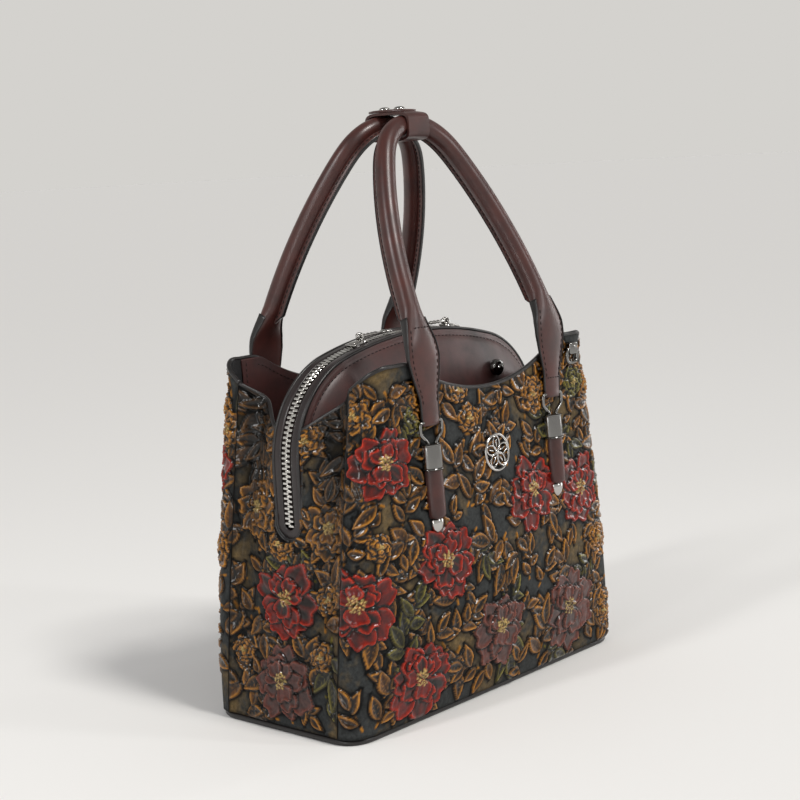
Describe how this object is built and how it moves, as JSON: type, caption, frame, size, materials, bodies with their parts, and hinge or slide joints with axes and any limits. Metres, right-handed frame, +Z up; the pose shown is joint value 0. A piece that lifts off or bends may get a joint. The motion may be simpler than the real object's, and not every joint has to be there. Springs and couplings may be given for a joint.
{
  "type": "handbag",
  "caption": "Structured top-handle handbag in floral-embossed lacquered leather, with a zipped dome compartment between open ones and rolled handles tied by a keeper.",
  "frame": {"origin": "middle of the base on the ground", "axes": "+X along the width to the right of someone facing the front, -Y out of the front, +Z up"},
  "size_m": [0.3, 0.167, 0.4157],
  "materials": {
    "embossed_leather": "hand-coloured floral embossing under gloss lacquer",
    "brown_leather": "smooth, half gloss",
    "edge_leather": "smooth, half gloss",
    "lining_cloth": "matt woven cloth",
    "stiffener": "matt",
    "zip_metal": "bright nickel",
    "polished_metal": "polished nickel"
  },
  "bodies": {
    "bag": {"back_facing": "brown_leather", "back_left_ring": "polished_metal", "back_left_sleeve": "polished_metal", "back_left_tab": "brown_leather", "back_left_tip": "polished_metal", "back_lining": "lining_cloth", "back_panel": "embossed_leather", "back_right_ring": "polished_metal", "back_right_sleeve": "polished_metal", "back_right_tab": "brown_leather", "back_right_tip": "polished_metal", "badge": "polished_metal", "base_board": "stiffener", "base_panel": "edge_leather", "base_piping": "edge_leather", "core_back_panel": "brown_leather", "core_front_panel": "brown_leather", "front_facing": "brown_leather", "front_handle": "brown_leather", "front_left_ring": "polished_metal", "front_left_sleeve": "polished_metal", "front_left_tab": "brown_leather", "front_left_tip": "polished_metal", "front_lining": "lining_cloth", "front_panel": "embossed_leather", "front_right_ring": "polished_metal", "front_right_sleeve": "polished_metal", "front_right_tab": "brown_leather", "front_right_tip": "polished_metal", "handle_keeper": "brown_leather", "keeper_snaps": "polished_metal", "left_gusset": "embossed_leather", "rear_handle": "brown_leather", "right_gusset": "embossed_leather", "snap_sockets": "polished_metal", "snap_studs": "polished_metal", "strap_holder_back": "polished_metal", "strap_holder_front": "polished_metal", "zip_band_back": "edge_leather", "zip_band_front": "edge_leather", "zip_end_left": "brown_leather", "zip_end_right": "brown_leather", "zip_tape_back": "lining_cloth", "zip_tape_front": "lining_cloth", "zip_teeth_back": "zip_metal", "zip_teeth_front": "zip_metal"},
    "slider_left": {"zip_slider_left": "polished_metal"},
    "slider_right": {"zip_slider_right": "polished_metal"},
    "pull_left": {"zip_pull_left": "polished_metal"},
    "pull_right": {"zip_pull_right": "polished_metal"},
    "ring_front": {"strap_ring_front": "polished_metal"},
    "ring_back": {"strap_ring_back": "polished_metal"}
  },
  "joints": [
    {"name": "left_slider_travel", "type": "hinge", "parent": "bag", "child": "slider_left", "pos_m": [0, 0, -0.043], "axis": [0, 1, 0], "range_deg": [-3.2, 2.5]},
    {"name": "right_slider_travel", "type": "hinge", "parent": "bag", "child": "slider_right", "pos_m": [0, 0, -0.043], "axis": [0, 1, 0], "range_deg": [-2.5, 4.6]},
    {"name": "left_pull_swing", "type": "hinge", "parent": "slider_left", "child": "pull_left", "pos_m": [-0.05097, 0, 0.25774], "axis": [0, -1, 0], "range_deg": [0, 165]},
    {"name": "right_pull_swing", "type": "hinge", "parent": "slider_right", "child": "pull_right", "pos_m": [0.04281, 0, 0.25901], "axis": [0, 1, 0], "range_deg": [0, 165]},
    {"name": "front_strap_ring_swing", "type": "hinge", "parent": "bag", "child": "ring_front", "pos_m": [0.095, -0.07559, 0.235], "axis": [-1, 0, 0], "range_deg": [0, 120]},
    {"name": "back_strap_ring_swing", "type": "hinge", "parent": "bag", "child": "ring_back", "pos_m": [-0.095, 0.07559, 0.235], "axis": [1, 0, 0], "range_deg": [0, 120]}
  ]
}
